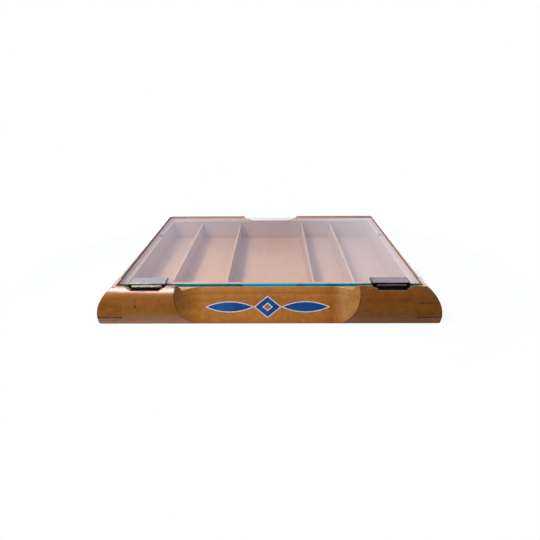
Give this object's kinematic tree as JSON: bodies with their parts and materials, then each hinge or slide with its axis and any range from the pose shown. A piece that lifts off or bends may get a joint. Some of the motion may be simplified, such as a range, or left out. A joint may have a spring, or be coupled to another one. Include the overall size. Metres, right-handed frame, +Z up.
{
  "type": "counter display tray",
  "caption": "Shallow round-nosed wooden display tray with compartments under a hinged glass lid, lifted at a finger notch in the back rail.",
  "frame": {"origin": "on the table under the middle of the tray, at the bottom centre of its bounding box", "axes": "+X to the right along the tray's width, +Y from the front with the scoop to the back with the finger notch, +Z up"},
  "size_m": [0.406, 0.295, 0.0447],
  "materials": {
    "rail_wood": "satin honey varnish",
    "floor_wood": "thin satin varnish on pale plywood",
    "divider_wood": "thin satin varnish",
    "lid_glass": "clear sheet glass with a green edge",
    "bright_hinge": "worn nickel plate",
    "dark_hinge": "dark oxidised plate, satin on top",
    "pin_steel": "drawn wire",
    "screw_steel": "dull steel",
    "nail_steel": "dark steel",
    "liner_felt": "thin pressed felt",
    "bumper_rubber": "matt blue-grey rubber"
  },
  "bodies": {
    "tray": {"front_rail": "rail_wood", "back_rail": "rail_wood", "left_side_rail": "rail_wood", "right_side_rail": "rail_wood", "bottom_panel": "floor_wood", "divider_1": "divider_wood", "divider_2": "divider_wood", "divider_3": "divider_wood", "divider_4": "divider_wood", "bottom_panel_nails": "nail_steel", "left_glass_bumper": "bumper_rubber", "right_glass_bumper": "bumper_rubber", "left_hinge_leaf": "bright_hinge", "right_hinge_leaf": "dark_hinge", "left_hinge_pin": "pin_steel", "right_hinge_pin": "dark_hinge", "left_leaf_screws": "screw_steel", "right_leaf_screws": "screw_steel"},
    "lid": {"glass_lid": "lid_glass", "left_hinge_clip": "bright_hinge", "right_hinge_clip": "dark_hinge", "left_clip_liner": "liner_felt", "right_clip_liner": "liner_felt", "left_clip_screws": "screw_steel", "right_clip_screws": "screw_steel"}
  },
  "joints": [
    {"name": "lid_hinge", "type": "hinge", "parent": "tray", "child": "lid", "pos_m": [0, -0.12835, 0.0404], "axis": [1, 0, 0], "range_deg": [0, 100]}
  ]
}
